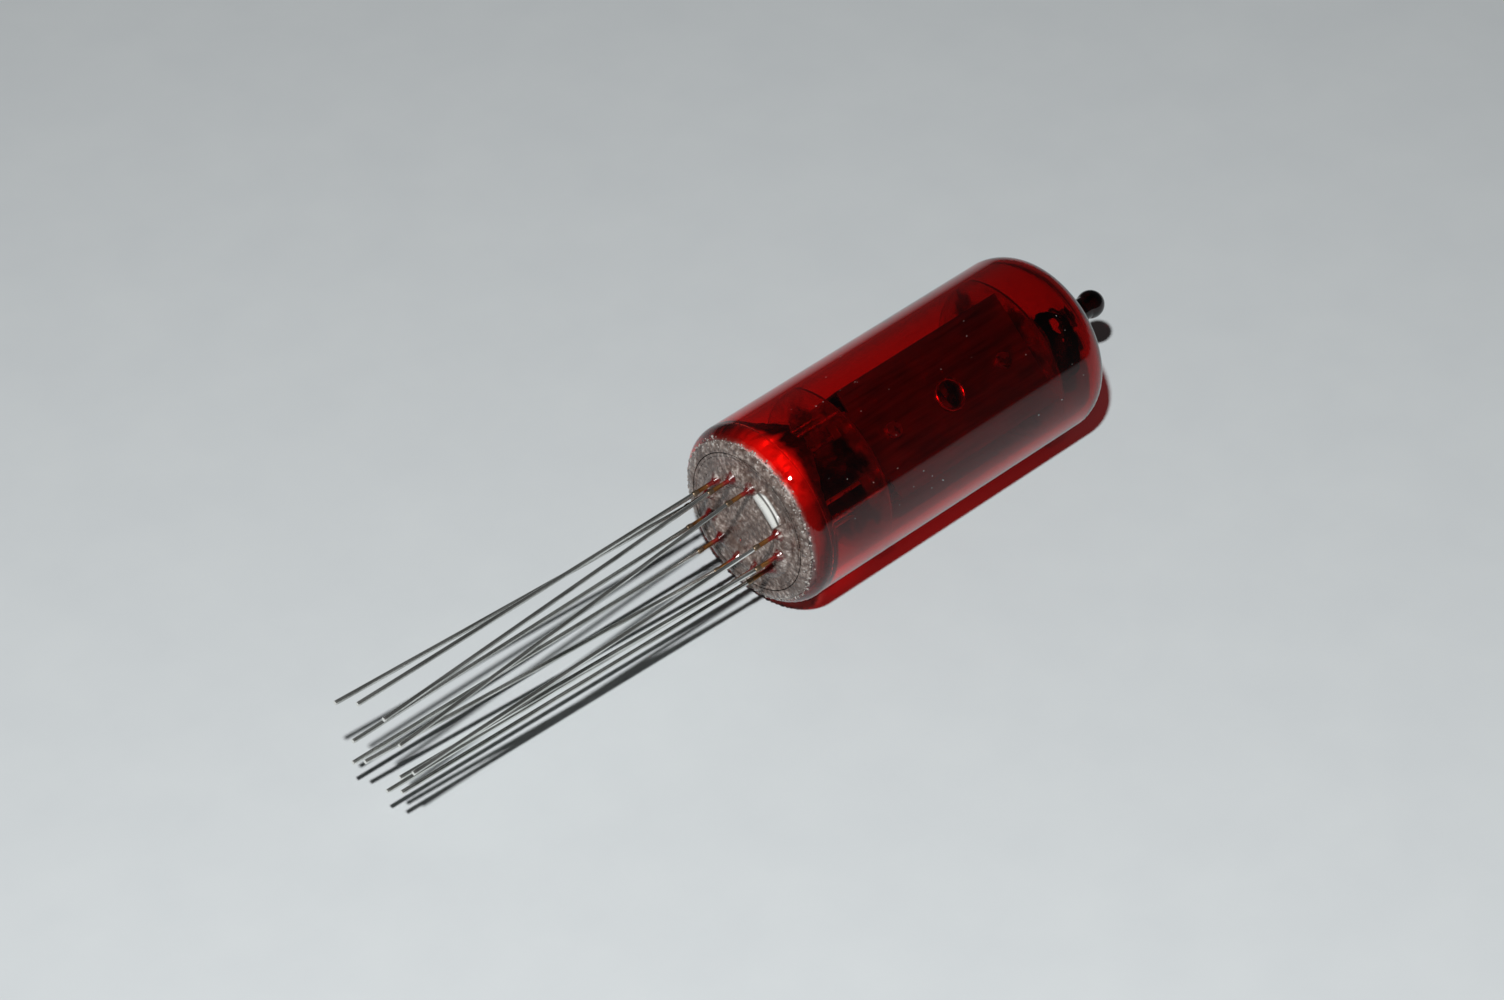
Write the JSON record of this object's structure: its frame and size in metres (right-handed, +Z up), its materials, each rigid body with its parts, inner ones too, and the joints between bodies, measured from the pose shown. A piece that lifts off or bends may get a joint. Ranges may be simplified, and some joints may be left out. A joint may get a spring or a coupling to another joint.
{
  "type": "nixie tube",
  "caption": "Wire-ended numeric glow indicator tube: red-lacquered glass bulb with a sealed tip, clear pressed base, splayed tinned leads and a stack of thin numeral cathodes.",
  "frame": {"origin": "on the tube's axis, at the flat middle of the glass base", "axes": "+X along the axis to the sealing tip, leads to -X, +Z up as the tube lies on its side"},
  "size_m": [0.0945, 0.019, 0.019],
  "materials": {
    "red_glass": "clear glass under glossy transparent red lacquer",
    "clear_glass": "pressed clear glass, seedy and glossy",
    "tinned_wire": "tinned, lightly drawn along the wire",
    "copper_wire": "copper-clad, oxidised brown",
    "nickel_wire": "bright drawn nickel",
    "numeral_sheet": "thin etched sheet, satin",
    "dark_sheet": "darkened sheet, satin",
    "mesh_sheet": "thin etched mesh, satin",
    "mica": "thin mica sheet, faintly amber",
    "white_ceramic": "fired, matt white",
    "getter_metal": "fired dark metal"
  },
  "bodies": {
    "root": {"envelope": "red_glass", "base_button": "clear_glass", "rear_shield": "dark_sheet", "front_mesh": "mesh_sheet", "lower_spacer": "mica", "upper_spacer": "mica", "stack_rod_lower": "nickel_wire", "stack_rod_upper": "nickel_wire", "sleeve_lower": "white_ceramic", "sleeve_upper": "white_ceramic", "spacer_rings_lower": "white_ceramic", "spacer_rings_upper": "white_ceramic", "getter_ring": "getter_metal", "getter_post": "nickel_wire", "lead_01": "tinned_wire", "lead_02": "tinned_wire", "lead_03": "tinned_wire", "lead_04": "tinned_wire", "lead_05": "tinned_wire", "lead_06": "tinned_wire", "lead_07": "tinned_wire", "lead_08": "tinned_wire", "lead_09": "tinned_wire", "lead_10": "tinned_wire", "lead_11": "tinned_wire", "seal_wire_01": "copper_wire", "seal_wire_02": "copper_wire", "seal_wire_03": "copper_wire", "seal_wire_04": "copper_wire", "seal_wire_05": "copper_wire", "seal_wire_06": "copper_wire", "seal_wire_07": "copper_wire", "seal_wire_08": "copper_wire", "seal_wire_09": "copper_wire", "seal_wire_10": "copper_wire", "seal_wire_11": "copper_wire", "riser_01": "nickel_wire", "riser_02": "nickel_wire", "riser_03": "nickel_wire", "riser_04": "nickel_wire", "riser_05": "nickel_wire", "riser_06": "nickel_wire", "riser_07": "nickel_wire", "riser_08": "nickel_wire", "riser_09": "nickel_wire", "riser_10": "nickel_wire", "riser_11": "nickel_wire", "cathode_0": "numeral_sheet", "cathode_1": "numeral_sheet", "cathode_2": "numeral_sheet", "cathode_3": "numeral_sheet", "cathode_4": "numeral_sheet", "cathode_5": "numeral_sheet", "cathode_6": "numeral_sheet", "cathode_7": "numeral_sheet", "cathode_8": "numeral_sheet", "cathode_9": "numeral_sheet"}
  },
  "joints": []
}
